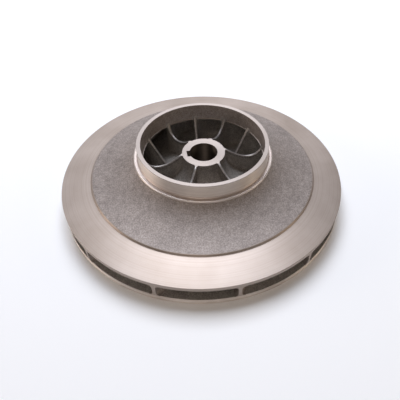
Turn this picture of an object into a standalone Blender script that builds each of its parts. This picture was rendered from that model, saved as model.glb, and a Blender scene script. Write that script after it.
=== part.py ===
# Closed centrifugal pump impeller, cast in bronze and turned on its running faces.
# The frame stands on the floor: +Z runs up the shaft axis to the eye, and the
# keyway of the bore is on the -X side. All sizes are in metres.

import math

import bmesh
import bpy

# Rim and the outlet between the two shrouds
RIM_RADIUS = 0.165
RIM_HEIGHT = 0.0274
OUTLET_FLOOR = 0.0071
OUTLET_ROOF = 0.0230

# Front shroud: a turned band at the rim, a step, and the cast cone inside it
BAND_INNER_RADIUS = 0.1310
BAND_INNER_HEIGHT = 0.0334
BAND_STEP_HEIGHT = 0.0020
BAND_STEP_RUN = 0.0006

# Neck that runs in the casing's wear ring, with the flange at its foot
EYE_RADIUS = 0.0697
NECK_RADIUS = 0.0745
NECK_TOP = 0.0756
FLANGE_RADIUS = 0.0796
FLANGE_TOP = 0.0587
FLANGE_THICKNESS = 0.0027
NECK_CHAMFER = 0.0006
NECK_FILLET = 0.0020

# Hub with its bore and keyway
HUB_RADIUS = 0.0247
HUB_TOP = 0.0593
HUB_FLARE_TOP = 0.0550
HUB_SPLIT_RADIUS = 0.0400
BORE_RADIUS = 0.0160
KEYWAY_WIDTH = 0.0100
KEYWAY_BOTTOM = 0.0193

# Back face: a turned land at the rim, and a cast recess inside it
LAND_INNER_RADIUS = 0.1280
HUB_BACK_RADIUS = 0.0320
RECESS_DEPTH = 0.0020
RECESS_RUN = 0.0015

# Vanes: six long ones from the hub, and six short ones between them
VANE_PAIRS = 6
VANE_WRAP = math.radians(57.0)
VANE_STRAIGHT_RADIUS = 0.0640
VANE_START_SLOPE = 0.08
VANE_END_SLOPE = 0.0
VANE_NOSE_THICKNESS = 0.0030
VANE_BODY_THICKNESS = 0.0042
VANE_THICKENING_START = 0.0450
VANE_THICKENING_END = 0.0900
SHORT_VANE_FOOT_RADIUS = 0.0475
VANE_TOP = 0.0600
PLATE_OVERRUN = 0.0050

# Clearance left between pieces that meet in the real casting
GAP = 0.0003

# Mesh fineness
TURN_STEPS = 96
SHROUD_POINTS = 8
CONE_POINTS = 5
HUB_POINTS = 10
LEADING_EDGE_POINTS = 6
CAMBER_POINTS = 18
FILLET_POINTS = 3
HALVINGS = 40
MERGE_DISTANCE = 0.00001

# Control points of the smooth stretches, as (radius, height)
SHROUD_CURVE = (
    (EYE_RADIUS, FLANGE_TOP - FLANGE_THICKNESS - GAP),
    (0.0712, 0.0450),
    (0.0950, 0.0325),
    (RIM_RADIUS, OUTLET_ROOF),
)
CONE_CURVE = (
    (FLANGE_RADIUS, FLANGE_TOP - FLANGE_THICKNESS - GAP),
    (0.0900, 0.0465),
    (0.1110, 0.0395),
    (BAND_INNER_RADIUS - BAND_STEP_RUN, BAND_INNER_HEIGHT + BAND_STEP_HEIGHT),
)
HUB_CURVE = (
    (HUB_RADIUS, HUB_FLARE_TOP),
    (0.0260, 0.0320),
    (0.0480, 0.0110),
    (RIM_RADIUS, OUTLET_FLOOR),
)
LONG_EDGE_CURVE = (
    (HUB_RADIUS + GAP, HUB_TOP),
    (0.0380, 0.0480),
    (0.0610, 0.0350),
    (EYE_RADIUS - GAP, VANE_TOP),
)


def clear_scene():
    """Remove whatever objects the file opened with."""
    for obj in list(bpy.data.objects):
        bpy.data.objects.remove(obj, do_unlink=True)


def new_collection(name):
    collection = bpy.data.collections.new(name)
    bpy.context.scene.collection.children.link(collection)
    return collection


def metal(name, color, roughness):
    """A bare metal finish with its colour given as linear RGB."""
    material = bpy.data.materials.new(name)
    material.use_nodes = True
    shader = material.node_tree.nodes["Principled BSDF"]
    shader.inputs["Base Color"].default_value = (*color, 1.0)
    shader.inputs["Metallic"].default_value = 1.0
    shader.inputs["Roughness"].default_value = roughness
    return material


def bezier(points, t):
    """Point of a cubic curve, as (radius, height)."""
    a, b, c, d = points
    s = 1.0 - t
    weights = (s * s * s, 3.0 * s * s * t, 3.0 * s * t * t, t * t * t)
    return tuple(sum(w * p[i] for w, p in zip(weights, (a, b, c, d))) for i in (0, 1))


def curve_points(points, count):
    """Evenly stepped points along a cubic curve, both ends included."""
    return [bezier(points, i / count) for i in range(count + 1)]


def offset(points, distance):
    """Move a polyline sideways; a positive distance moves it to its left."""
    moved = []
    last = len(points) - 1
    for i, point in enumerate(points):
        before = points[max(i - 1, 0)]
        after = points[min(i + 1, last)]
        run = (after[0] - before[0], after[1] - before[1])
        length = math.hypot(*run)
        moved.append((point[0] - run[1] / length * distance, point[1] + run[0] / length * distance))
    return moved


def hollow_arc(corner, radius, count):
    """Points of a fillet from an upright wall down to a flat that meet at a corner."""
    center = (corner[0] + radius, corner[1] + radius)
    angles = [math.pi * (1.0 + i / (2.0 * count)) for i in range(count + 1)]
    return [(center[0] + radius * math.cos(a), center[1] + radius * math.sin(a)) for a in angles]


def hub_height(radius):
    """Height of the flared hub surface at a radius, found by halving."""
    low, high = 0.0, 1.0
    for _ in range(HALVINGS):
        middle = (low + high) / 2.0
        if bezier(HUB_CURVE, middle)[0] < radius:
            low = middle
        else:
            high = middle
    return bezier(HUB_CURVE, low)[1]


def finish(obj, material, sharp_degrees=32.0):
    """Give an object its material and smooth shading between its real edges."""
    obj.data.materials.clear()
    obj.data.materials.append(material)
    obj.data.shade_smooth()
    obj.data.set_sharp_from_angle(angle=math.radians(sharp_degrees))


def mesh_object(name, collection, bm):
    mesh = bpy.data.meshes.new(name)
    bm.to_mesh(mesh)
    bm.free()
    obj = bpy.data.objects.new(name, mesh)
    collection.objects.link(obj)
    return obj


def turned(name, collection, profile):
    """Turn a closed (radius, height) outline about the shaft axis."""
    bm = bmesh.new()
    corners = [bm.verts.new((radius, 0.0, height)) for radius, height in profile]
    for i, corner in enumerate(corners):
        bm.edges.new((corner, corners[(i + 1) % len(corners)]))
    obj = mesh_object(name, collection, bm)
    screw = obj.modifiers.new("turn", "SCREW")
    screw.axis = "Z"
    screw.steps = TURN_STEPS
    screw.render_steps = TURN_STEPS
    screw.use_merge_vertices = True
    screw.merge_threshold = MERGE_DISTANCE
    return obj


def hide_cutter(obj):
    obj.hide_render = True
    obj.display_type = "WIRE"


def cut(obj, cutter, operation):
    boolean = obj.modifiers.new(operation.lower(), "BOOLEAN")
    boolean.operation = operation
    boolean.solver = "EXACT"
    boolean.object = cutter


def make_front_shroud(parts, material):
    """Cone over the vanes, with the turned band at its rim."""
    profile = [SHROUD_CURVE[0]]
    profile += curve_points(CONE_CURVE, CONE_POINTS)
    profile += [(BAND_INNER_RADIUS, BAND_INNER_HEIGHT), (RIM_RADIUS, RIM_HEIGHT)]
    profile += list(reversed(curve_points(SHROUD_CURVE, SHROUD_POINTS)))[:-1]
    finish(turned("front_shroud", parts, profile), material)


def make_neck_ring(parts, material):
    """Turned neck round the eye, standing on its stepped flange."""
    foot = FLANGE_TOP - FLANGE_THICKNESS
    profile = [
        (EYE_RADIUS, NECK_TOP),
        (NECK_RADIUS - NECK_CHAMFER, NECK_TOP),
        (NECK_RADIUS, NECK_TOP - NECK_CHAMFER),
        *hollow_arc((NECK_RADIUS, FLANGE_TOP), NECK_FILLET, FILLET_POINTS),
        (FLANGE_RADIUS, FLANGE_TOP),
        (FLANGE_RADIUS, foot),
        (EYE_RADIUS, foot),
    ]
    finish(turned("neck_ring", parts, profile), material)


def make_back_shroud(parts, material):
    """Disc behind the vanes, with a turned land at its rim."""
    inner = HUB_SPLIT_RADIUS + GAP
    surface = [point for point in curve_points(HUB_CURVE, HUB_POINTS) if point[0] > inner]
    profile = [(inner, hub_height(inner))]
    profile += surface
    profile += [
        (RIM_RADIUS, 0.0),
        (LAND_INNER_RADIUS, 0.0),
        (LAND_INNER_RADIUS - RECESS_RUN, RECESS_DEPTH),
        (inner, RECESS_DEPTH),
    ]
    finish(turned("back_shroud", parts, profile), material)


def make_hub(parts, cutters, material):
    """Boss with the bore and keyway, flaring into the back shroud."""
    surface = [point for point in curve_points(HUB_CURVE, HUB_POINTS) if point[0] < HUB_SPLIT_RADIUS]
    profile = [(BORE_RADIUS, HUB_TOP), (HUB_RADIUS, HUB_TOP)]
    profile += surface
    profile += [
        (HUB_SPLIT_RADIUS, hub_height(HUB_SPLIT_RADIUS)),
        (HUB_SPLIT_RADIUS, RECESS_DEPTH),
        (HUB_BACK_RADIUS + RECESS_RUN, RECESS_DEPTH),
        (HUB_BACK_RADIUS, 0.0),
        (BORE_RADIUS, 0.0),
    ]
    hub = turned("hub", parts, profile)
    bm = bmesh.new()
    bmesh.ops.create_cube(bm, size=1.0)
    length = HUB_TOP * 2.0
    bmesh.ops.scale(bm, vec=(KEYWAY_BOTTOM, KEYWAY_WIDTH, length), verts=bm.verts)
    bmesh.ops.translate(bm, vec=(-KEYWAY_BOTTOM / 2.0, 0.0, HUB_TOP / 2.0), verts=bm.verts)
    keyway = mesh_object("keyway_cutter", cutters, bm)
    hide_cutter(keyway)
    cut(hub, keyway, "DIFFERENCE")
    finish(hub, material)


def camber_angle(radius):
    """Angle of a vane's middle line, which sweeps back as it runs out."""
    span = RIM_RADIUS - VANE_STRAIGHT_RADIUS
    s = (radius - VANE_STRAIGHT_RADIUS) / span
    if s <= 0.0:
        return -VANE_WRAP * VANE_START_SLOPE * s
    start = s * s * s - 2.0 * s * s + s
    rise = 3.0 * s * s - 2.0 * s * s * s
    end = s * s * s - s * s
    return -VANE_WRAP * (VANE_START_SLOPE * start + rise + VANE_END_SLOPE * end)


def vane_thickness(radius):
    span = VANE_THICKENING_END - VANE_THICKENING_START
    share = min(max((radius - VANE_THICKENING_START) / span, 0.0), 1.0)
    return VANE_NOSE_THICKNESS + (VANE_BODY_THICKNESS - VANE_NOSE_THICKNESS) * share


def vane_outline(inner_radius):
    """Plan of a vane plate, which runs past the rim so that it can be trimmed."""
    outer_radius = RIM_RADIUS + PLATE_OVERRUN
    radii = [inner_radius + (outer_radius - inner_radius) * i / CAMBER_POINTS for i in range(CAMBER_POINTS + 1)]
    line = [(r * math.cos(camber_angle(r)), r * math.sin(camber_angle(r))) for r in radii]
    sides = []
    last = len(line) - 1
    for i, (x, y) in enumerate(line):
        before = line[max(i - 1, 0)]
        after = line[min(i + 1, last)]
        run = (after[0] - before[0], after[1] - before[1])
        reach = vane_thickness(radii[i]) / 2.0 / math.hypot(*run)
        sides.append(((x - run[1] * reach, y + run[0] * reach), (x + run[1] * reach, y - run[0] * reach)))
    return [left for left, _ in sides] + [right for _, right in reversed(sides)]


def vane_plate(name, inner_radius):
    """Flat vane plate of full height, as a mesh with welded caps."""
    outline = vane_outline(inner_radius)
    curve = bpy.data.curves.new(name + "_outline", "CURVE")
    curve.dimensions = "2D"
    curve.fill_mode = "BOTH"
    curve.extrude = NECK_TOP / 2.0
    spline = curve.splines.new("POLY")
    spline.points.add(len(outline) - 1)
    for point, (x, y) in zip(spline.points, outline):
        point.co = (x, y, 0.0, 1.0)
    spline.use_cyclic_u = True
    guide = bpy.data.objects.new(name + "_outline", curve)
    bpy.context.scene.collection.objects.link(guide)
    bpy.context.view_layer.update()
    depsgraph = bpy.context.evaluated_depsgraph_get()
    mesh = bpy.data.meshes.new_from_object(guide.evaluated_get(depsgraph))
    bpy.data.objects.remove(guide, do_unlink=True)
    bm = bmesh.new()
    bm.from_mesh(mesh)
    bmesh.ops.remove_doubles(bm, verts=bm.verts, dist=MERGE_DISTANCE)
    bmesh.ops.translate(bm, vec=(0.0, 0.0, NECK_TOP / 2.0 - GAP), verts=bm.verts)
    bmesh.ops.recalc_face_normals(bm, faces=bm.faces)
    bm.to_mesh(mesh)
    bm.free()
    mesh.name = name
    return mesh


def vane_space(name, cutters, leading_edge, foot_radius):
    """Turned body that the vanes fill, from their leading edge to the rim."""
    roof = offset(curve_points(SHROUD_CURVE, SHROUD_POINTS), -GAP)
    floor = offset(curve_points(HUB_CURVE, HUB_POINTS), GAP)
    roof[-1] = (RIM_RADIUS, OUTLET_ROOF - GAP)
    floor[-1] = (RIM_RADIUS, OUTLET_FLOOR + GAP)
    floor = [point for point in floor if point[0] > foot_radius]
    profile = leading_edge + roof + list(reversed(floor))
    space = turned(name, cutters, profile)
    hide_cutter(space)
    return space


def make_vanes(parts, cutters, material):
    """Six long vanes from the hub, and six short ones that start further out."""
    long_edge = curve_points(LONG_EDGE_CURVE, LEADING_EDGE_POINTS)
    foot = (SHORT_VANE_FOOT_RADIUS, hub_height(SHORT_VANE_FOOT_RADIUS) + GAP)
    short_edge = [foot, LONG_EDGE_CURVE[-1]]
    long_space = vane_space("long_vane_space", cutters, long_edge, 0.0)
    short_space = vane_space("short_vane_space", cutters, short_edge, SHORT_VANE_FOOT_RADIUS)
    long_plate = vane_plate("long_vane", BORE_RADIUS)
    short_plate = vane_plate("short_vane", HUB_SPLIT_RADIUS)
    pitch = 2.0 * math.pi / VANE_PAIRS
    for i in range(VANE_PAIRS):
        kinds = (("long_vane", long_plate, long_space, 0.0), ("short_vane", short_plate, short_space, 0.5))
        for kind, plate, space, phase in kinds:
            vane = bpy.data.objects.new(f"{kind}_{i + 1}", plate.copy())
            vane.rotation_euler = (0.0, 0.0, pitch * (i + phase))
            parts.objects.link(vane)
            cut(vane, space, "INTERSECT")
            finish(vane, material)


def main():
    clear_scene()
    parts = new_collection("impeller")
    cutters = new_collection("cutters")
    cast = metal("cast_bronze", (0.30, 0.27, 0.25), 0.55)
    machined = metal("machined_bronze", (0.62, 0.54, 0.49), 0.30)
    make_front_shroud(parts, cast)
    make_neck_ring(parts, machined)
    make_back_shroud(parts, cast)
    make_hub(parts, cutters, machined)
    make_vanes(parts, cutters, cast)


main()
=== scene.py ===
# %% [markdown]
# # A closed pump impeller
# An impeller is the wheel that turns inside a centrifugal pump. Water comes in
# through the eye at the top, is caught by the vanes and is thrown out through the
# slots at the rim. The real wheel is poured in one piece in a sand mould, and then
# only the faces that have to run true are turned bright on a lathe.
#
# The lesson follows the foundry and the lathe. Every round piece is an outline
# that is spun about the shaft, and each vane is a straight bar that is laid along
# its path between the two discs. The measured frame is loaded first, because all
# the sizes come from it.

# %% Load the measured frame
import bisect
import math

import bpy
from mathutils import Matrix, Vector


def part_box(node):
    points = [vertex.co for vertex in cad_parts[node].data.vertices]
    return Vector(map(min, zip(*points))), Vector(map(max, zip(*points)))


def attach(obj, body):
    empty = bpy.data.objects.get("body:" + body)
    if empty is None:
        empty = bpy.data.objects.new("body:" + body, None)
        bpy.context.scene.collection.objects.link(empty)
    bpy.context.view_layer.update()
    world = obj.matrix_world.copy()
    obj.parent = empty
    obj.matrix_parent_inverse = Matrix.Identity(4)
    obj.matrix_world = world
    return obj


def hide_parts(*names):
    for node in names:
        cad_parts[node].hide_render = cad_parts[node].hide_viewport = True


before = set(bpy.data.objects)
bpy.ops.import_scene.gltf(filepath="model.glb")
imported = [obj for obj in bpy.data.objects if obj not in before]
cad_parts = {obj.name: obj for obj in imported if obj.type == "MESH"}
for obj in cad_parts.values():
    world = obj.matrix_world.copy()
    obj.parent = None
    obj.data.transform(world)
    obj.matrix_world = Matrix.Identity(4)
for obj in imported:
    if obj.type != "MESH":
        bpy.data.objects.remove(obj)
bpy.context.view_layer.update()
print("frame nodes:", len(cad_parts))

# %% [markdown]
# ## Sizes
# The outer sizes are read from the frame's own nodes, so that the finished wheel
# can't drift away from it. The few sizes that no box can tell, such as the bore,
# are named here in metres, as they stand on a workshop drawing.

# %% Sizes that the frame gives
RIM_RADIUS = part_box("front_shroud")[1].x
OUTLET_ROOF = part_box("front_shroud")[0].z
FLANGE_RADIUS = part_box("neck_ring")[1].x
FLANGE_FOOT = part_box("neck_ring")[0].z
NECK_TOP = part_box("neck_ring")[1].z
HUB_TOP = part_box("hub")[1].z
HUB_SPLIT_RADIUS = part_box("hub")[1].x
VANE_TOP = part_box("short_vane_1")[1].z
print(f"rim {RIM_RADIUS:.4f} m, neck {NECK_TOP:.4f} m high, hub {HUB_TOP:.4f} m high")

# %% Sizes from the workshop drawing
RIM_HEIGHT = 0.0274
OUTLET_FLOOR = 0.0071
BAND_INNER_RADIUS = 0.1310
BAND_INNER_HEIGHT = 0.0334
BAND_STEP_HEIGHT = 0.0020
BAND_STEP_RUN = 0.0006
EYE_RADIUS = 0.0697
NECK_RADIUS = 0.0745
NECK_FILLET = 0.0020
EYE_LEDGE = 0.0008
EYE_UNDERCUT = 0.0028
FLANGE_TOP = 0.0587
HUB_RADIUS = 0.0247
HUB_FLARE_TOP = 0.0550
BORE_RADIUS = 0.0160
KEYWAY_WIDTH = 0.0100
KEYWAY_BOTTOM = 0.0193
LAND_INNER_RADIUS = 0.1280
HUB_BACK_RADIUS = 0.0320
RECESS_DEPTH = 0.0020
RECESS_RUN = 0.0015
print(f"eye {2 * EYE_RADIUS:.4f} m and bore {2 * BORE_RADIUS:.4f} m across")

# %% [markdown]
# ## The shape of the water way
# The surfaces that guide the water are smooth sweeps from upright to flat. A cubic
# curve with four control points draws each of them, as a set of French curves
# would on the drawing board. Points at equal steps of the curve's own measure
# crowd together where it bends, so a second pass spaces them evenly.

# %% Curves of the water way
CLEARANCE = 0.0003
FINE_STEPS = 200
SHROUD_CURVE = (
    (EYE_RADIUS + EYE_UNDERCUT, FLANGE_FOOT - CLEARANCE),
    (0.0750, 0.0460),
    (0.0950, 0.0325),
    (RIM_RADIUS, OUTLET_ROOF),
)
CONE_CURVE = (
    (FLANGE_RADIUS, FLANGE_FOOT),
    (0.0900, 0.0465),
    (0.1110, 0.0395),
    (BAND_INNER_RADIUS - BAND_STEP_RUN, BAND_INNER_HEIGHT + BAND_STEP_HEIGHT),
)
HUB_CURVE = (
    (HUB_RADIUS, HUB_FLARE_TOP),
    (0.0260, 0.0320),
    (0.0480, 0.0110),
    (RIM_RADIUS, OUTLET_FLOOR),
)


def cubic(points, count):
    """Points along a cubic curve, both ends included."""
    line = []
    for step in range(count + 1):
        t = step / count
        s = 1.0 - t
        weights = (s * s * s, 3.0 * s * s * t, 3.0 * s * t * t, t * t * t)
        line.append(tuple(sum(w * p[i] for w, p in zip(weights, points)) for i in (0, 1)))
    return line


def between(start, end, share):
    """The point at a share of the way from one point to another."""
    return tuple(a + (b - a) * share for a, b in zip(start, end))


def walk(line):
    """A function that gives the point at a share of the way along a line."""
    marks = [0.0]
    for start, end in zip(line, line[1:]):
        marks.append(marks[-1] + math.dist(start, end))

    def at(share):
        target = share * marks[-1]
        i = min(max(bisect.bisect_right(marks, target), 1), len(marks) - 1)
        return between(line[i - 1], line[i], (target - marks[i - 1]) / (marks[i] - marks[i - 1]))

    return at


def even(points, count):
    """A cubic curve as evenly spaced points."""
    at = walk(cubic(points, FINE_STEPS))
    return [at(step / count) for step in range(count + 1)]


print("floor of the water way:", len(even(HUB_CURVE, 40)), "points")

# %% [markdown]
# ## The camera
# The photo was taken from in front and above, with the wheel low in the frame.
# Fitting the wheel's circles to the picture gave the camera's place, its tilt and
# roll, and the point that its axis goes through, which the small shift sets.
# Distances are in rim radii, from the middle of the rim's upper edge.

# %% Place the camera
CAMERA_PLACE = (-0.3203, -2.2890, 2.0930)
CAMERA_TURN = math.radians(-15.0)
CAMERA_TILT = math.radians(49.22)
CAMERA_ROLL = math.radians(3.25)
CAMERA_LENS = 37.8
CAMERA_SHIFT = (-0.1000, 0.0625)

camera_data = bpy.data.cameras.new("photo_camera")
camera_data.lens = CAMERA_LENS
camera_data.shift_x, camera_data.shift_y = CAMERA_SHIFT
camera = bpy.data.objects.new("photo_camera", camera_data)
bpy.context.scene.collection.objects.link(camera)
camera_place = [share * RIM_RADIUS for share in CAMERA_PLACE]
camera_place[2] += RIM_HEIGHT
turn = Matrix.Rotation(CAMERA_TURN, 4, "Z")
tilt = Matrix.Rotation(math.pi / 2 - CAMERA_TILT, 4, "X")
roll = Matrix.Rotation(CAMERA_ROLL, 4, "Z")
camera.matrix_world = Matrix.Translation(camera_place) @ turn @ tilt @ roll
bpy.context.scene.camera = camera
print("camera at", [round(value, 3) for value in camera_place])

# %% [markdown]
# ## Colours and nodes
# A colour is picked as a hex value from a chart, but the renderer works in linear
# light, so one function turns it over. A second one adds a node to a material,
# with its settings and its links, so that each recipe below reads from top to
# bottom.

# %% Helpers for materials
MM = 0.001


def linear(hex_code):
    """Linear colour of an sRGB hex value such as b8a79d."""
    channels = [int(hex_code[i : i + 2], 16) / 255 for i in (0, 2, 4)]
    light = [c / 12.92 if c <= 0.04045 else ((c + 0.055) / 1.055) ** 2.4 for c in channels]
    return (*light, 1.0)


def add(owner, kind, settings, inputs):
    """Add a node to a material or a world, set its settings, and set or link its inputs."""
    tree = owner.node_tree
    node = tree.nodes.new("ShaderNode" + kind)
    for name, value in settings.items():
        setattr(node, name, value)
    for name, value in inputs.items():
        if isinstance(value, bpy.types.NodeSocket):
            tree.links.new(value, node.inputs[name])
        else:
            node.inputs[name].default_value = value
    return node


def new_material(name, **settings):
    """A material with its surface shader set to plain numbers."""
    material = bpy.data.materials.new(name)
    material.use_nodes = True
    shader = material.node_tree.nodes["Principled BSDF"]
    for key, value in settings.items():
        shader.inputs[key.replace("_", " ").title()].default_value = value
    return material, shader


print("white is", linear("ffffff"))

# %% [markdown]
# ## Sand-cast bronze
# Where the wheel was never touched by a tool, it has the skin of the mould: a dull
# warm grey, grainy like fine sandpaper, with slow waves where the sand gave way. A
# picture could be laid on it, but a noise in the metal's own space has no seams.
# The grain of the sand is about 0.5 mm, too fine for this distance, so it is drawn
# at 1.4 mm, and a second noise makes clumps of 5 mm. Both also push the normal a
# little, so that the skin sparkles here and there in raking light.

# %% Sand-cast bronze
SAND_GRAIN = 1.4 * MM
SAND_CLUMP = 5.0 * MM
CASTING_WAVE = 28.0 * MM
GRAIN_HEIGHT = 0.3 * MM
CLUMP_HEIGHT = 0.6 * MM
CLUMP_SHARE = 0.45
WAVE_SHARE = 0.30
SKIN_SPREAD = 0.08


def sand_cast(name, dark, middle, light, roughness):
    """Skin of a bronze casting, with the grain of the sand it was poured in."""
    material, shader = new_material(name, metallic=0.70, roughness=roughness)
    place = add(material, "TexCoord", {}, {}).outputs["Object"]
    grain = add(material, "TexNoise", {}, {"Vector": place, "Scale": 1 / SAND_GRAIN, "Detail": 3.0})
    clump = add(material, "TexNoise", {}, {"Vector": place, "Scale": 1 / SAND_CLUMP, "Detail": 2.0})
    wave = add(material, "TexNoise", {}, {"Vector": place, "Scale": 1 / CASTING_WAVE, "Detail": 1.0})
    clumps = add(
        material,
        "Math",
        {"operation": "MULTIPLY_ADD"},
        {0: clump.outputs["Fac"], 1: CLUMP_SHARE, 2: -CLUMP_SHARE / 2},
    )
    speck = add(material, "Math", {"operation": "ADD"}, {0: grain.outputs["Fac"], 1: clumps.outputs[0]})
    ramp = add(material, "ValToRGB", {}, {"Fac": speck.outputs[0]})
    stops = ramp.color_ramp.elements
    stops[0].position, stops[0].color = 0.30, linear(dark)
    stops[1].position, stops[1].color = 0.72, linear(light)
    stops.new(0.51).color = linear(middle)
    tone = add(
        material,
        "Math",
        {"operation": "MULTIPLY_ADD"},
        {0: wave.outputs["Fac"], 1: WAVE_SHARE, 2: 1 - WAVE_SHARE / 2},
    )
    shade = add(
        material, "VectorMath", {"operation": "SCALE"}, {0: ramp.outputs["Color"], "Scale": tone.outputs[0]}
    )
    rough = add(
        material,
        "MapRange",
        {},
        {
            "Value": clump.outputs["Fac"],
            "To Min": roughness - SKIN_SPREAD,
            "To Max": roughness + SKIN_SPREAD,
        },
    )
    fine = add(
        material, "Bump", {}, {"Height": grain.outputs["Fac"], "Strength": 0.35, "Distance": GRAIN_HEIGHT}
    )
    coarse = add(
        material,
        "Bump",
        {},
        {
            "Height": clump.outputs["Fac"],
            "Strength": 0.25,
            "Distance": CLUMP_HEIGHT,
            "Normal": fine.outputs["Normal"],
        },
    )
    links = material.node_tree.links
    links.new(shade.outputs[0], shader.inputs["Base Color"])
    links.new(rough.outputs[0], shader.inputs["Roughness"])
    links.new(coarse.outputs["Normal"], shader.inputs["Normal"])
    return material


# Outside skin: dark warm grey, grainy and dull
outer_cast = sand_cast("sand_cast_bronze", "877d78", "9b918b", "b0a6a0", 0.60)
# Skin inside the water way: the same skin, painted paler as painted light in the dim passages
inner_cast_painted_light = sand_cast("water_side_casting_painted_light", "97918b", "b0aaa4", "c6c0ba", 0.58)
# Noses of the vanes: a darker copy of the skin, painted shade on noses that catch the light from above, and
# smoother, with more shine
nose_painted_shade = sand_cast("vane_nose_painted_shade", "807a76", "97918d", "aea8a4", 0.45)
print("made", outer_cast.name, inner_cast_painted_light.name, nose_painted_shade.name)

# %% [markdown]
# ## Turned bronze
# The lathe leaves bright pinkish metal, covered with fine rings round the shaft.
# The rings spread a highlight across them, so the band is bright in a wedge where
# it faces the window and dull at its sides. That is what the anisotropic value
# does, with a tangent that runs round the shaft. A quarter turn of it stretches
# the light across the rings and not along them. The feed of the tool is about
# 0.2 mm, so the rings are drawn ten times as coarse. Each ring's place depends
# only on the distance from the shaft and the height, and a wide faint noise adds
# the marks that hands leave.

# %% Turned bronze
TOOL_FEED = 2.0 * MM
HAND_STAIN = 45.0 * MM
MARK_HEIGHT = 0.1 * MM
RING_SHARE = 0.35
STAIN_SHARE = 0.50
GLOSS_SPREAD = 0.03
QUARTER_TURN = 0.25


def turned_bronze(name, dull, bright, roughness, streak, marks):
    """Bronze fresh from the lathe, with rings of tool marks round the shaft."""
    material, shader = new_material(
        name, metallic=1.0, roughness=roughness, anisotropic=streak, anisotropic_rotation=QUARTER_TURN
    )
    place = add(material, "TexCoord", {}, {}).outputs["Object"]
    parts = add(material, "SeparateXYZ", {}, {0: place})
    flat = add(material, "CombineXYZ", {}, {0: parts.outputs["X"], 1: parts.outputs["Y"]})
    radius = add(material, "VectorMath", {"operation": "LENGTH"}, {0: flat.outputs[0]})
    travel = add(
        material, "Math", {"operation": "SUBTRACT"}, {0: radius.outputs["Value"], 1: parts.outputs["Z"]}
    )
    rings = add(
        material,
        "TexNoise",
        {"noise_dimensions": "1D"},
        {"W": travel.outputs[0], "Scale": 1 / TOOL_FEED, "Detail": 4.0, "Roughness": 0.7},
    )
    stain = add(material, "TexNoise", {}, {"Vector": place, "Scale": 1 / HAND_STAIN, "Detail": 3.0})
    middle = (1 - RING_SHARE - STAIN_SHARE) / 2
    tone = add(
        material, "Math", {"operation": "MULTIPLY_ADD"}, {0: rings.outputs["Fac"], 1: RING_SHARE, 2: middle}
    )
    tint = add(
        material,
        "Math",
        {"operation": "MULTIPLY_ADD"},
        {0: stain.outputs["Fac"], 1: STAIN_SHARE, 2: tone.outputs[0]},
    )
    ramp = add(material, "ValToRGB", {}, {"Fac": tint.outputs[0]})
    stops = ramp.color_ramp.elements
    stops[0].position, stops[0].color = 0.30, linear(dull)
    stops[1].position, stops[1].color = 0.70, linear(bright)
    rough = add(
        material,
        "MapRange",
        {},
        {
            "Value": stain.outputs["Fac"],
            "To Min": roughness - GLOSS_SPREAD,
            "To Max": roughness + GLOSS_SPREAD,
        },
    )
    ridge = add(
        material, "Bump", {}, {"Height": rings.outputs["Fac"], "Strength": marks, "Distance": MARK_HEIGHT}
    )
    tangent = add(material, "Tangent", {"direction_type": "RADIAL", "axis": "Z"}, {})
    links = material.node_tree.links
    links.new(ramp.outputs["Color"], shader.inputs["Base Color"])
    links.new(rough.outputs[0], shader.inputs["Roughness"])
    links.new(ridge.outputs["Normal"], shader.inputs["Normal"])
    links.new(tangent.outputs[0], shader.inputs["Tangent"])
    return material


# Outer band and back land: a fine even feed, so a satin sheen with faint rings
band_finish = turned_bronze("turned_bronze", "9b8d82", "b7aaa1", 0.46, 0.50, 0.50)
# Neck and the back disc's rim: a coarser feed, so pale and dark lines and a long soft highlight, in a
# colour paler than the band's, which is painted light
pale_turned_painted_light = turned_bronze("coarse_turned_bronze_painted_light", "bcaea4", "faf4ee", 0.60, 0.80, 0.60)
# Bore and keyway: dark, painted shade in the deep bore
bore_painted_shade = turned_bronze("bored_bronze_painted_shade", "6a6159", "887e76", 0.55, 0.90, 0.15)
# Top of the flange and the fillet at the neck's foot: the finest feed, even, and painted pale as painted
# light for their bright line
flange_painted_light = turned_bronze("fine_turned_bronze_painted_light", "c0b1a8", "d3c6be", 0.48, 0.45, 0.20)
# Rim of the flange: smoother still, and painted paler still, a painted highlight that shows as a thin line
# of light
flange_rim_painted_highlight = turned_bronze("smooth_bronze_painted_highlight", "d6cac1", "eae1da", 0.36, 0.05, 0.05)
# Lip, ledge, front disc's rim, vane tips and hub's faces: gone over with a file, nearly matt
edge_finish = turned_bronze("filed_bronze", "a69b93", "b9afa8", 0.62, 0.50, 0.20)
print("finishes now:", [material.name for material in bpy.data.materials if "bronze" in material.name])

# %% [markdown]
# ## Spinning an outline
# A lathe turns metal against a tool, and the spin operator does the same with an
# outline. A circle primitive gives a closed loop with the right number of points,
# each point goes to its place on the drawing, and the loop is spun once round the
# shaft. Doubles are merged where it closes, and then the normals can be trusted.

# %% Helper that spins an outline
TURN_STEPS = 240
MERGE_DISTANCE = 0.00001


def select_only(obj):
    """Leave one object selected and active."""
    bpy.ops.object.select_all(action="DESELECT")
    obj.select_set(True)
    bpy.context.view_layer.objects.active = obj


def lathe(name, outline):
    """Spin a closed outline of radius and height about the shaft."""
    bpy.ops.object.select_all(action="DESELECT")
    bpy.ops.mesh.primitive_circle_add(vertices=len(outline), radius=RIM_RADIUS)
    obj = bpy.context.object
    obj.name = name
    obj.data.name = name
    for vertex, (radius, height) in zip(obj.data.vertices, outline):
        vertex.co = (radius, 0.0, height)
    bpy.ops.object.mode_set(mode="EDIT")
    bpy.ops.mesh.select_all(action="SELECT")
    bpy.ops.mesh.spin(steps=TURN_STEPS, angle=math.tau, center=(0, 0, 0), axis=(0, 0, 1))
    bpy.ops.mesh.select_all(action="SELECT")
    bpy.ops.mesh.remove_doubles(threshold=MERGE_DISTANCE)
    bpy.ops.mesh.normals_make_consistent(inside=False)
    bpy.ops.object.mode_set(mode="OBJECT")
    print(name, "has", len(obj.data.polygons), "faces")
    return obj


print("each outline is spun in", TURN_STEPS, "steps")

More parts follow.
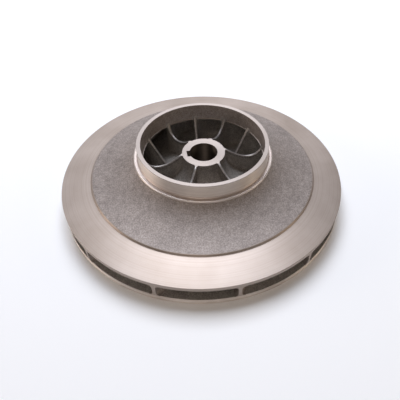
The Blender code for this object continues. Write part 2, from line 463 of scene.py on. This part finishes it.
# %% [markdown]
# ## Breaking the edges
# A turner runs a file over each sharp edge, and that thin rounding is what catches
# the light. The edges are chosen in code by where they stand on the drawing: both
# ends have the radius and height of a corner. One bevel then rounds them all.
#
# Each piece is then painted face by face with a rule, and shaded smooth. Smooth
# shading would bend the light on a flat ring beside its small bevels, so a Weighted
# Normal modifier gives the broad faces their full say and keeps them flat.

# %% Helpers that choose and round edges
CORNER_REACH = 0.00005


def ring_place(co):
    """Radius and height of a point."""
    return math.hypot(co[0], co[1]), co[2]


def corner_of(co, corners):
    """Number of the corner of the outline that a point stands at, or None."""
    here = ring_place(co)
    for number, corner in enumerate(corners):
        if math.dist(here, corner) < CORNER_REACH:
            return number
    return None


def break_edges(obj, corners, width, segments=3):
    """Round the turned edges that stand at the given corners of the outline."""
    select_only(obj)
    mesh = obj.data
    for group in (mesh.vertices, mesh.edges, mesh.polygons):
        group.foreach_set("select", [False] * len(group))
    found = [corner_of(vertex.co, corners) for vertex in mesh.vertices]
    for edge in mesh.edges:
        start, end = (found[i] for i in edge.vertices)
        edge.select = start is not None and start == end
    for vertex, corner in zip(mesh.vertices, found):
        vertex.select = corner is not None
    bpy.context.tool_settings.mesh_select_mode = (False, True, False)
    bpy.ops.object.mode_set(mode="EDIT")
    bpy.ops.mesh.bevel(offset=width, segments=segments, profile=0.5, affect="EDGES")
    bpy.ops.object.mode_set(mode="OBJECT")
    bpy.context.tool_settings.mesh_select_mode = (True, False, False)
    print(obj.name, "edges broken, now", len(mesh.polygons), "faces")


print("corners are found within", CORNER_REACH, "m")

# %% Helpers that paint, shade and dress a piece
def paint(obj, materials, rule):
    """Give each face the material whose number the rule returns for its middle."""
    for material in materials:
        obj.data.materials.append(material)
    for face in obj.data.polygons:
        number = rule(*ring_place(face.center), face.normal)
        if number is not None:
            face.material_index = number


def smooth(obj, degrees):
    """Shade smooth with crisp edges, and with the broad faces truly flat."""
    select_only(obj)
    bpy.ops.object.shade_smooth_by_angle(angle=math.radians(degrees))
    flat = obj.modifiers.new("flat", "WEIGHTED_NORMAL")
    flat.weight = 100
    flat.keep_sharp = True
    bpy.ops.object.modifier_apply(modifier=flat.name)


def dress(obj, slot, *nodes):
    """Make the piece ride on the body and stand for its nodes of the frame."""
    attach(obj, "root")
    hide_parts(*nodes)
    print(obj.name, "stands for", *nodes)


print("nodes to dress:", len(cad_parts))

# %% [markdown]
# ## Front shroud
# The front disc carries a cast cone and, outside it, a band that was turned
# bright. The tool stopped short of the cone, so a small step is left, and the
# casting stands proud of the band. The step's top edge was broken with a file, and
# the tool's round nose left a fillet at its foot. Sand is never quite flat, so the
# cast faces are pushed about by a soft cloud texture, by half a millimetre at most,
# which fades out towards the turned faces.

# %% Waves of the cast skin
CAST_WAVE_HEIGHT = 0.0005
CAST_WAVE_SIZE = 0.016


def wave_casting(obj, is_cast):
    """Push the cast faces in and out a little, as a sand mould leaves them."""
    select_only(obj)
    group = obj.vertex_groups.new(name="as_cast")
    for vertex in obj.data.vertices:
        share = is_cast(*ring_place(vertex.co))
        if share > 0.0:
            group.add([vertex.index], share, "REPLACE")
    texture = bpy.data.textures.new(obj.name + "_sand", "CLOUDS")
    texture.noise_scale = CAST_WAVE_SIZE
    push = obj.modifiers.new("sand", "DISPLACE")
    push.texture = texture
    push.texture_coords = "LOCAL"
    push.strength = CAST_WAVE_HEIGHT
    push.vertex_group = group.name
    bpy.ops.object.modifier_apply(modifier=push.name)
    print(obj.name, "waved by", CAST_WAVE_HEIGHT, "m")


# %% Outline of the front shroud
CONE_ROWS = 26
ROOF_ROWS = 30
BAND_ROWS = 8

cone_line = even(CONE_CURVE, CONE_ROWS)
roof_line = even(SHROUD_CURVE, ROOF_ROWS)
step_top = cone_line[-1]
band_inner = (BAND_INNER_RADIUS, BAND_INNER_HEIGHT)
rim_top = (RIM_RADIUS, RIM_HEIGHT)
rim_roof = (RIM_RADIUS, OUTLET_ROOF)
eye_foot = (EYE_RADIUS + EYE_UNDERCUT, FLANGE_FOOT)
band_line = [between(band_inner, rim_top, i / BAND_ROWS) for i in range(BAND_ROWS)]
outline = cone_line + band_line + [rim_top] + roof_line[::-1] + [eye_foot]
print("outline of the front shroud:", len(outline), "points")

# %% Where the front shroud is as cast
FADE_AT_FLANGE = 0.006
FADE_AT_STEP = 0.004
FADE_BELOW = 0.001


def cone_height(radius):
    """Height of the cone above a radius."""
    return min(cone_line, key=lambda point: abs(point[0] - radius))[1]


def on_cone(radius, height):
    """Share of the sand's waves on the cone, fading out at the turned faces."""
    inner = (radius - FLANGE_RADIUS) / FADE_AT_FLANGE
    outer = (BAND_INNER_RADIUS - BAND_STEP_RUN - radius) / FADE_AT_STEP
    above = (height - cone_height(radius)) / FADE_BELOW + 1.0
    return min(1.0, max(0.0, min(inner, outer, above)))


print(f"the cone is {cone_height(FLANGE_RADIUS):.4f} m high at the flange")

# %% Spin the front shroud
RIM_BREAK = 0.0005
STEP_BREAK = 0.0009
STEP_FILLET = 0.0009
RIM_REACH = 1.2 * RIM_BREAK

front = lathe("cast_front_shroud", outline)
wave_casting(front, on_cone)
break_edges(front, [rim_top, rim_roof], RIM_BREAK)
break_edges(front, [step_top], STEP_BREAK)
break_edges(front, [band_inner], STEP_FILLET, 4)


def front_rule(radius, height, normal):
    """Filed rim 3, turned band 1, cast cone 0, and the water side 2."""
    if radius > RIM_RADIUS - RIM_REACH and normal.z < 0.7:
        return 3
    if radius > BAND_INNER_RADIUS - BAND_STEP_RUN - STEP_BREAK and normal.z > -0.3:
        return 1
    # Cast faces that look down into the water way take the paler skin, painted light
    return 0 if normal.z > 0.0 else 2


paint(front, [outer_cast, band_finish, inner_cast_painted_light, edge_finish], front_rule)
smooth(front, 35)
dress(front, "cast_bronze", "front_shroud")

# %% [markdown]
# ## Neck ring
# The neck runs in a wear ring of the pump's casing, so it is turned all over on
# its outside and on its lip; its outside is painted paler than the band, as painted
# light. It stands on a thin flange with a fine groove in its top and a rounded,
# shiny rim. The flange's top and the neck's foot are painted pale, as painted light,
# and the rim paler still, as a painted highlight. The bore was left as cast, which
# is why the inside of the eye looks dull beside the bright lip. At its lower end the
# bore steps in by a narrow ledge, and behind that the roof of the water way falls
# back, so that the wall ends in a crisp line above dark passages.

# %% Outline of the neck ring
GROOVE_RADIUS = 0.0775
GROOVE_WIDTH = 0.0005
GROOVE_DEPTH = 0.0003

lip_outer = (NECK_RADIUS, NECK_TOP)
lip_inner = (EYE_RADIUS, NECK_TOP)
neck_foot = (NECK_RADIUS, FLANGE_TOP)
flange_top = (FLANGE_RADIUS, FLANGE_TOP)
flange_foot = (FLANGE_RADIUS, FLANGE_FOOT)
groove_line = [
    (GROOVE_RADIUS, FLANGE_TOP),
    (GROOVE_RADIUS, FLANGE_TOP - GROOVE_DEPTH),
    (GROOVE_RADIUS + GROOVE_WIDTH, FLANGE_TOP - GROOVE_DEPTH),
    (GROOVE_RADIUS + GROOVE_WIDTH, FLANGE_TOP),
]
ledge_line = [
    (EYE_RADIUS - EYE_LEDGE, FLANGE_FOOT),
    (EYE_RADIUS - EYE_LEDGE, FLANGE_FOOT + EYE_LEDGE / 2),
    (EYE_RADIUS, FLANGE_FOOT + EYE_LEDGE),
]
outline = [lip_inner, lip_outer, neck_foot] + groove_line + [flange_top, flange_foot, eye_foot] + ledge_line
print("outline of the neck ring:", len(outline), "points")

# %% Spin the neck ring
LIP_BREAK = 0.0004
FLANGE_BREAK = 0.0012
WALL_MARGIN = LIP_BREAK / 4

neck = lathe("turned_neck", outline)
break_edges(neck, [lip_outer, lip_inner], LIP_BREAK)
break_edges(neck, [flange_top], FLANGE_BREAK, 4)
break_edges(neck, [neck_foot], NECK_FILLET, 5)


def neck_rule(radius, height, normal):
    """Lip and ledge 3, cast bore and foot 1, flange 2 with its rim 4, and the neck 0."""
    if radius < EYE_RADIUS - WALL_MARGIN:
        return 3
    if radius < EYE_RADIUS + WALL_MARGIN or height < FLANGE_FOOT + WALL_MARGIN:
        return 1
    if height > NECK_TOP - LIP_BREAK:
        return 3
    # The flange's rim takes the palest finish, a painted highlight
    if radius > FLANGE_RADIUS - FLANGE_BREAK:
        return 4
    # The flange's top and the neck's foot take the pale fine finish, painted light
    return 2 if height < FLANGE_TOP + NECK_FILLET else 0


paint(neck, [pale_turned_painted_light, outer_cast, flange_painted_light, edge_finish, flange_rim_painted_highlight], neck_rule)
smooth(neck, 35)
dress(neck, "machined_bronze", "neck_ring")

# %% [markdown]
# ## Back shroud and hub
# The back disc and the hub are one sweep of metal. The frame has them as two
# nodes that meet at a circle, so they are two pieces here as well, and they share
# the curve of the water way, which hides the joint. The back is a turned land at
# the rim and a shallow cast recess inside it.

# %% Floor of the water way
FLOOR_ROWS = 44

floor_line = even(HUB_CURVE, FLOOR_ROWS)


def floor_height(radius):
    """Height of the floor of the water way above a radius."""
    for start, end in zip(floor_line, floor_line[1:]):
        if start[0] <= radius <= end[0]:
            share = (radius - start[0]) / (end[0] - start[0])
            return start[1] + (end[1] - start[1]) * share
    return OUTLET_FLOOR


print(f"the hub meets the disc {floor_height(HUB_SPLIT_RADIUS):.4f} m up")

# %% Outline of the back shroud
RECESS_ROWS = 12

split_top = (HUB_SPLIT_RADIUS, floor_height(HUB_SPLIT_RADIUS))
split_back = (HUB_SPLIT_RADIUS, RECESS_DEPTH)
rim_floor = (RIM_RADIUS, OUTLET_FLOOR)
rim_back = (RIM_RADIUS, 0.0)
land_inner = (LAND_INNER_RADIUS, 0.0)
recess_outer = (LAND_INNER_RADIUS - RECESS_RUN, RECESS_DEPTH)
outline = [split_top] + [point for point in floor_line if point[0] > HUB_SPLIT_RADIUS]
recess_line = [between(recess_outer, split_back, i / RECESS_ROWS) for i in range(RECESS_ROWS)]
outline += [rim_back, land_inner] + recess_line + [split_back]
print("outline of the back shroud:", len(outline), "points")

# %% Spin the back shroud
FADE_IN_RECESS = 0.004

back = lathe("cast_back_shroud", outline)


def in_recess(radius, height):
    """Share of the sand's waves in the recess of the back face."""
    if abs(height - RECESS_DEPTH) > CORNER_REACH:
        return 0.0
    margin = min(recess_outer[0] - radius, radius - HUB_SPLIT_RADIUS)
    return min(1.0, max(0.0, margin / FADE_IN_RECESS))


wave_casting(back, in_recess)
break_edges(back, [rim_floor, rim_back], RIM_BREAK)


def back_rule(radius, height, normal):
    """Rim 3, turned land 1, cast recess 0, and the water side 2."""
    # The back disc's rim takes the pale coarse finish, painted light on the lower lip
    if radius > RIM_RADIUS - RIM_REACH and normal.z > -0.7:
        return 3
    if radius > LAND_INNER_RADIUS and normal.z < -0.3:
        return 1
    # Cast faces that look up into the water way take the paler skin, painted light
    return 0 if normal.z < 0.0 else 2


paint(back, [outer_cast, band_finish, inner_cast_painted_light, pale_turned_painted_light], back_rule)
smooth(back, 35)
dress(back, "cast_bronze", "back_shroud")

# %% [markdown]
# ## Hub with its keyway
# The hub's face and bore are turned, and a keyway is cut along the bore. The key
# sits in it and takes the shaft's push. A box as wide as the key, taken away by a
# Boolean, does what the shaping machine did.

# %% Spin the hub
FACE_BREAK = 0.0002
BORE_BREAK = 0.0004
BORE_MARGIN = 0.0002
BORE_END = HUB_TOP - 0.0006
FACE_FOOT = HUB_FLARE_TOP + 0.0030

face_outer = (HUB_RADIUS, HUB_TOP)
face_inner = (BORE_RADIUS, HUB_TOP)
hub_back = (HUB_BACK_RADIUS, 0.0)
bore_back = (BORE_RADIUS, 0.0)
outline = [face_inner, face_outer] + [point for point in floor_line if point[0] < HUB_SPLIT_RADIUS]
outline += [split_top, split_back, (HUB_BACK_RADIUS + RECESS_RUN, RECESS_DEPTH), hub_back, bore_back]
hub = lathe("turned_hub", outline)
break_edges(hub, [face_outer], FACE_BREAK, 2)
break_edges(hub, [face_inner, hub_back, bore_back], BORE_BREAK, 2)

# %% Cut the keyway
bpy.ops.object.select_all(action="DESELECT")
bpy.ops.mesh.primitive_cube_add(size=1.0)
key_box = bpy.context.object
bpy.ops.object.mode_set(mode="EDIT")
bpy.ops.mesh.select_all(action="SELECT")
bpy.ops.transform.resize(value=(KEYWAY_BOTTOM, KEYWAY_WIDTH, 2.0 * HUB_TOP))
bpy.ops.transform.translate(value=(-KEYWAY_BOTTOM / 2.0, 0.0, HUB_TOP / 2.0))
bpy.ops.object.mode_set(mode="OBJECT")
select_only(hub)
cut = hub.modifiers.new("keyway", "BOOLEAN")
cut.operation = "DIFFERENCE"
cut.solver = "EXACT"
cut.object = key_box
bpy.ops.object.modifier_apply(modifier=cut.name)
bpy.data.objects.remove(key_box, do_unlink=True)
print("keyway cut, the hub now has", len(hub.data.polygons), "faces")


def hub_rule(radius, height, normal):
    """Bore and keyway 2, the two turned faces 0, and the cast flare 1."""
    # The bore and keyway take the dark bored finish, painted shade
    if radius < KEYWAY_BOTTOM + BORE_MARGIN and height < BORE_END:
        return 2
    on_face = normal.z > 0.4 and height > FACE_FOOT
    return 0 if on_face or height < RECESS_DEPTH / 2 else 1


paint(hub, [edge_finish, inner_cast_painted_light, bore_painted_shade], hub_rule)
smooth(hub, 35)
dress(hub, "machined_bronze", "hub")

# %% [markdown]
# ## Vanes
# A vane is a thin wall that leans back as it runs out and straightens at the rim.
# It has a round nose that parts the water and a fillet all along both feet, because
# molten metal doesn't fill a sharp corner. Bending a plate in place would be hard
# to control, so the vane starts as a straight bar: a flat grid is extruded upwards,
# row by row. Each point of the bar then goes to its place. Its column says how far
# it is along the water way, its row says how far from the floor to the roof, and
# the rows near either end swell by the arc of the fillet.

# %% Path of the vanes
VANE_PAIRS = 6
VANE_WRAP = math.radians(57.0)
VANE_STRAIGHT_RADIUS = 0.0640
VANE_START_SLOPE = 0.08
VANE_END_SLOPE = 0.0
ROOT_DEPTH = 0.0010
ROOT_RISE = 0.0024
LONG_EDGE_CURVE = (
    (HUB_RADIUS - ROOT_DEPTH, HUB_TOP + ROOT_RISE),
    (0.0380, 0.0490),
    (0.0610, 0.0350),
    (EYE_RADIUS, VANE_TOP),
)
SHORT_VANE_FOOT_RADIUS = 0.0475


def camber_angle(radius):
    """Angle of a vane's middle line, which sweeps back as it runs out."""
    s = (radius - VANE_STRAIGHT_RADIUS) / (RIM_RADIUS - VANE_STRAIGHT_RADIUS)
    if s <= 0.0:
        return -VANE_WRAP * VANE_START_SLOPE * s
    start = s * s * s - 2.0 * s * s + s
    rise = 3.0 * s * s - 2.0 * s * s * s
    end = s * s * s - s * s
    return -VANE_WRAP * (VANE_START_SLOPE * start + rise + VANE_END_SLOPE * end)


def lean(radius):
    """Slant of the middle line: its sideways step for each step outwards."""
    step = 0.0001
    return radius * (camber_angle(radius + step) - camber_angle(radius - step)) / (2.0 * step)


print(f"a vane sweeps back {math.degrees(-camber_angle(RIM_RADIUS)):.0f} degrees")

# %% Thickness and fillets of the vanes
NOSE_END_RADIUS = 0.045
NOSE_THICKNESS = 0.0034
BODY_THICKNESS = 0.0042
TIP_THICKNESS = 0.0035
BODY_START = 0.090
BODY_END = 0.120
FILLET = 0.0040
NOSE_FILLET = 0.0016
ROOT_FILLET = 0.0028
FILLET_ROWS = 6
ROOF_FILLET_GROWTH = 0.4
FLOOR_FILLET_GROWTH = 0.3
BURIED = 0.0003


def half_thickness(radius):
    """Half the wall's thickness, thin at the nose and at the tip."""
    if radius < BODY_START:
        share = max(0.0, (radius - NOSE_END_RADIUS) / (BODY_START - NOSE_END_RADIUS))
        return (NOSE_THICKNESS + (BODY_THICKNESS - NOSE_THICKNESS) * share) / 2
    share = max(0.0, (radius - BODY_END) / (RIM_RADIUS - BODY_END))
    return (BODY_THICKNESS + (TIP_THICKNESS - BODY_THICKNESS) * share) / 2


def roof_fillet(along):
    """Radius of the fillet under the front disc, small where the eye shows it."""
    return NOSE_FILLET + (FILLET - NOSE_FILLET) * min(1.0, along / ROOF_FILLET_GROWTH)


def floor_fillet(along):
    """Radius of the fillet on the back disc, small where it climbs the hub."""
    return ROOT_FILLET + (FILLET - ROOT_FILLET) * min(1.0, along / FLOOR_FILLET_GROWTH)


# Distance from the wall and swelling of each row of a fillet, in fillet radii
foot_rows = [(0.0, 1.0)]
for step in range(FILLET_ROWS + 1):
    angle = math.pi / 2 * step / FILLET_ROWS
    foot_rows.append((1.0 - math.cos(angle), 1.0 - math.sin(angle)))
print("rows of a fillet:", len(foot_rows))

# %% [markdown]
# ### Laying the bar in the water way
# The water way is a four-sided patch in the plane of radius and height: floor,
# roof, the vane's leading edge and the rim. A blend of the four sides gives the
# place of any point between them, which keeps all four sides exact. The stations
# of the bar crowd together towards the nose, where the shape changes most, and the
# end of the bar is wrapped round in a half circle to make the nose.

# %% Patch between floor, roof, leading edge and rim
def water_way(floor, roof, edge):
    """A function from two shares to radius and height inside the water way."""
    floor_at = walk(floor)
    roof_at = walk(roof)
    edge_at = walk(edge)

    def at(along, up):
        across = between(floor_at(along), roof_at(along), up)
        start = between(floor_at(0.0), roof_at(0.0), up)
        nose = edge_at(up)
        return tuple(across[i] + (nose[i] - start[i]) * (1.0 - along) for i in (0, 1))

    return at


# Sides of the two patches: the short vanes start further out on the floor
EDGE_STEPS = 60
FOOT_MARGIN = 0.0005

vane_head = (EYE_RADIUS, VANE_TOP)
floor_cubic = cubic(HUB_CURVE, FINE_STEPS)
roof_cubic = [vane_head, (EYE_RADIUS - EYE_LEDGE, FLANGE_FOOT)] + cubic(SHROUD_CURVE, FINE_STEPS)
long_way = water_way([LONG_EDGE_CURVE[0]] + floor_cubic, roof_cubic, cubic(LONG_EDGE_CURVE, EDGE_STEPS))
short_foot = (SHORT_VANE_FOOT_RADIUS, floor_height(SHORT_VANE_FOOT_RADIUS))
past_foot = [point for point in floor_cubic if point[0] > SHORT_VANE_FOOT_RADIUS + FOOT_MARGIN]
short_way = water_way([short_foot] + past_foot, roof_cubic, [short_foot, vane_head])
print("middle of the water way:", [round(value, 4) for value in long_way(0.5, 0.5)])

# %% Straight bar
STATIONS = 52
ACROSS = 8
MIDDLE_ROWS = 8
ROW_COUNT = 2 * len(foot_rows) + MIDDLE_ROWS


def bar(name):
    """A flat grid extruded upwards, one row at a time."""
    bpy.ops.object.select_all(action="DESELECT")
    bpy.ops.mesh.primitive_grid_add(x_subdivisions=STATIONS, y_subdivisions=ACROSS, size=2.0)
    obj = bpy.context.object
    obj.name = name
    obj.data.name = name
    bpy.ops.object.mode_set(mode="EDIT")
    bpy.ops.mesh.select_all(action="SELECT")
    for _ in range(ROW_COUNT - 1):
        bpy.ops.mesh.extrude_region_move(TRANSFORM_OT_translate={"value": (0.0, 0.0, 1.0)})
    bpy.ops.object.mode_set(mode="OBJECT")
    print(name, "starts as a bar of", len(obj.data.vertices), "points")
    return obj


# %% Lay the bar in the water way
NOSE_STATIONS = 2
NOSE_END = 2.0 * NOSE_STATIONS / STATIONS - 1.0
STATION_CROWDING = 1.25
NOSE_FADE = 8
HALF_STEP = 0.01


def row_place(row, along, height):
    """Share of the way up and swelling of a row; the first and last are buried."""
    below, above = floor_fillet(along), roof_fillet(along)
    from_roof = ROW_COUNT - 1 - row
    if row < len(foot_rows):
        rise, swell = (value * below for value in foot_rows[row])
        return (rise if row else -BURIED) / height, swell
    if from_roof < len(foot_rows):
        rise, swell = (value * above for value in foot_rows[from_roof])
        return 1.0 - (rise if from_roof else -BURIED) / height, swell
    share = (row - len(foot_rows) + 1) / (MIDDLE_ROWS + 1)
    low = below / height
    return low + (1.0 - low - above / height) * share, 0.0


def lay_bar(obj, way, angle):
    """Move each point of the bar to its place in the water way."""
    # Faces of the nose take material 2, the darker nose skin, painted shade
    for face in obj.data.polygons:
        face.material_index = 2 if face.center.x < NOSE_END else 0
    for vertex in obj.data.vertices:
        along = ((vertex.co.x + 1.0) / 2.0) ** STATION_CROWDING
        side = vertex.co.y
        height = math.dist(way(along, 0.0), way(along, 1.0))
        up, swell = row_place(round(vertex.co.z), along, height)
        radius, level = way(along, up)
        half = half_thickness(radius)
        ahead = way(min(along + HALF_STEP, 1.0), up)
        behind = way(max(along - HALF_STEP, 0.0), up)
        if along == 0.0:
            nose = side * math.pi / 2
            forward = half - (half + swell) * math.cos(nose)
            half = (half + swell) * math.sin(nose)
        else:
            forward = half * (1.0 - along) ** NOSE_FADE
            half = (half + swell) * side
        run = math.dist(ahead, behind)
        radius += forward * (ahead[0] - behind[0]) / run
        level += forward * (ahead[1] - behind[1]) / run
        radius = min(radius, RIM_RADIUS)
        slant = math.hypot(1.0, lean(radius))
        turn = angle + camber_angle(radius) + half * slant / radius
        vertex.co = (radius * math.cos(turn), radius * math.sin(turn), level)


print("rows in a bar:", ROW_COUNT)

# %% [markdown]
# ### Six long vanes and six short ones
# The long vanes reach the hub, and the tool that faced the hub also planed off
# their roots, so each long vane is cut level with the hub's face. The short vanes
# start further out. One vane of each kind is made, and the others are copies,
# turned about the shaft, each with a mesh of its own.

# %% Helpers that finish and copy a vane
PLANED_BELOW = 0.00002
PLANED_REACH = 0.045
TIP_MARGIN = 0.0002
FACE_MARGIN = 0.0001


def finish_vane(obj, planed):
    """Point the faces out, cut a long vane level with the hub's face, paint and shade."""
    select_only(obj)
    bpy.ops.object.mode_set(mode="EDIT")
    bpy.ops.mesh.select_all(action="SELECT")
    bpy.ops.mesh.normals_make_consistent(inside=False)
    bpy.ops.object.mode_set(mode="OBJECT")
    if planed:
        mesh = obj.data
        near = [ring_place(vertex.co)[0] < PLANED_REACH for vertex in mesh.vertices]
        for vertex, marked in zip(mesh.vertices, near):
            vertex.select = marked
        for edge in mesh.edges:
            edge.select = all(near[i] for i in edge.vertices)
        for face in mesh.polygons:
            face.select = all(near[i] for i in face.vertices)
        bpy.ops.object.mode_set(mode="EDIT")
        bpy.ops.mesh.bisect(
            plane_co=(0.0, 0.0, HUB_TOP - PLANED_BELOW),
            plane_no=(0.0, 0.0, 1.0),
            use_fill=True,
            clear_outer=True,
        )
        bpy.ops.object.mode_set(mode="OBJECT")

    def vane_rule(radius, height, normal):
        """Tip and planed root 1, and the last stretch before the rim 3, the darker outside skin as painted
        shade.
        """
        at_tip = radius > RIM_RADIUS - TIP_MARGIN and abs(normal.z) < 0.5
        on_face = planed and height > HUB_TOP - FACE_MARGIN and radius < PLANED_REACH and normal.z > 0.9
        if at_tip or on_face:
            return 1
        # Past the band's inner edge the faces take the darker outside skin: painted shade where the vanes
        # show in the slots
        return 3 if radius > BAND_INNER_RADIUS else None

    paint(obj, [inner_cast_painted_light, edge_finish, nose_painted_shade, outer_cast], vane_rule)
    smooth(obj, 50)


def copy_vanes(pattern, kind):
    """Five more vanes like the first, each a pitch further round."""
    pitch = math.tau / VANE_PAIRS
    vanes = [pattern]
    for i in range(1, VANE_PAIRS):
        vane = bpy.data.objects.new(f"swept_{kind}_{i + 1}", pattern.data.copy())
        bpy.context.scene.collection.objects.link(vane)
        vane.data.transform(Matrix.Rotation(pitch * i, 4, "Z"))
        vanes.append(vane)
    for i, vane in enumerate(vanes):
        dress(vane, "cast_bronze", f"{kind}_{i + 1}")
    print(len(vanes), kind, "vanes of", len(pattern.data.polygons), "faces")


print("vanes of each kind:", VANE_PAIRS)

# %% Long vanes
long_vane = bar("swept_long_vane_1")
lay_bar(long_vane, long_way, 0.0)
finish_vane(long_vane, planed=True)
copy_vanes(long_vane, "long_vane")

# %% Short vanes
short_vane = bar("swept_short_vane_1")
lay_bar(short_vane, short_way, math.pi / VANE_PAIRS)
finish_vane(short_vane, planed=False)
copy_vanes(short_vane, "short_vane")

# %% [markdown]
# ## Floor and light
# The wheel was photographed on white, under a light above and behind it, a little
# to the left. A soft square lamp stands there, as near as a window, so the shadow
# in front of the wheel is short and soft. Weaker light comes from the left, from
# the camera's side and, warmer, from the right. Those three are suns as wide as a
# wall, because a near lamp would light a patch of its own on the floor. Bright metal
# shows what stands round it, so the room has pale walls that fade to a dark
# ceiling. The floor is plain pale paper, and no colour is changed afterwards.

# %% Floor
paper, paper_shader = new_material("white_paper", roughness=0.8)
paper_shader.inputs["Base Color"].default_value = linear("fcfcfc")
bpy.ops.object.select_all(action="DESELECT")
bpy.ops.mesh.primitive_plane_add(size=60.0)
floor = bpy.context.object
floor.name = "paper_floor"
floor.data.materials.append(paper)
print("floor added")

# %% Lamps
DAYLIGHT = "edf3ff"
ROOM_LIGHT = "fff1e6"
LAMPLIGHT = "ffe9c8"
WINDOW_DISTANCE = 2.0
WINDOW_SIZE = 1.3
WINDOW_TURN = 12.0
WINDOW_RISE = 62.0
WINDOW_WATTS = 45.5
FILL_WIDTH = math.radians(30.0)
# Name, turn, rise, strength and colour of each wide, weak lamp
FILL_LAMPS = (
    ("left_wall", 94.0, 10.0, 0.75, ROOM_LIGHT),
    ("room", 175.0, 45.0, 0.36, ROOM_LIGHT),
    ("workshop_lamp", -95.0, 14.0, 0.27, LAMPLIGHT),
)


def lamp(name, kind, turn, rise, strength, color):
    """A lamp aimed at the wheel; turn goes from behind it to the left, both angles in degrees."""
    data = bpy.data.lights.new(name, kind)
    data.energy = strength
    data.color = linear(color)[:3]
    obj = bpy.data.objects.new(name, data)
    bpy.context.scene.collection.objects.link(obj)
    heading = Matrix.Rotation(CAMERA_TURN + math.radians(turn), 4, "Z")
    dip = Matrix.Rotation(math.radians(rise - 90.0), 4, "X")
    obj.matrix_world = heading @ dip @ Matrix.Translation((0.0, 0.0, WINDOW_DISTANCE))
    return data


window = lamp("window", "AREA", WINDOW_TURN, WINDOW_RISE, WINDOW_WATTS, DAYLIGHT)
window.shape = "SQUARE"
window.size = WINDOW_SIZE
for name, turn, rise, strength, color in FILL_LAMPS:
    lamp(name, "SUN", turn, rise, strength, color).angle = FILL_WIDTH
print("lamps placed:", len(bpy.data.lights))

# %% Room round the wheel
WALL_STRENGTH = 0.45
CEILING_STRENGTH = 0.09
WALL_TOP = 0.15
CEILING_EDGE = 0.50

world = bpy.data.worlds.new("studio")
bpy.context.scene.world = world
world.use_nodes = True
room = world.node_tree.nodes["Background"]
room.inputs["Color"].default_value = linear(ROOM_LIGHT)
direction = add(world, "TexCoord", {}, {})
upward = add(world, "SeparateXYZ", {}, {0: direction.outputs["Generated"]})
fade = add(
    world,
    "MapRange",
    {},
    {
        "Value": upward.outputs["Z"],
        "From Min": WALL_TOP,
        "From Max": CEILING_EDGE,
        "To Min": WALL_STRENGTH,
        "To Max": CEILING_STRENGTH,
    },
)
world.node_tree.links.new(fade.outputs[0], room.inputs["Strength"])
bpy.context.scene.view_settings.view_transform = "Standard"
print("the room's walls give", WALL_STRENGTH, "and its ceiling", CEILING_STRENGTH)
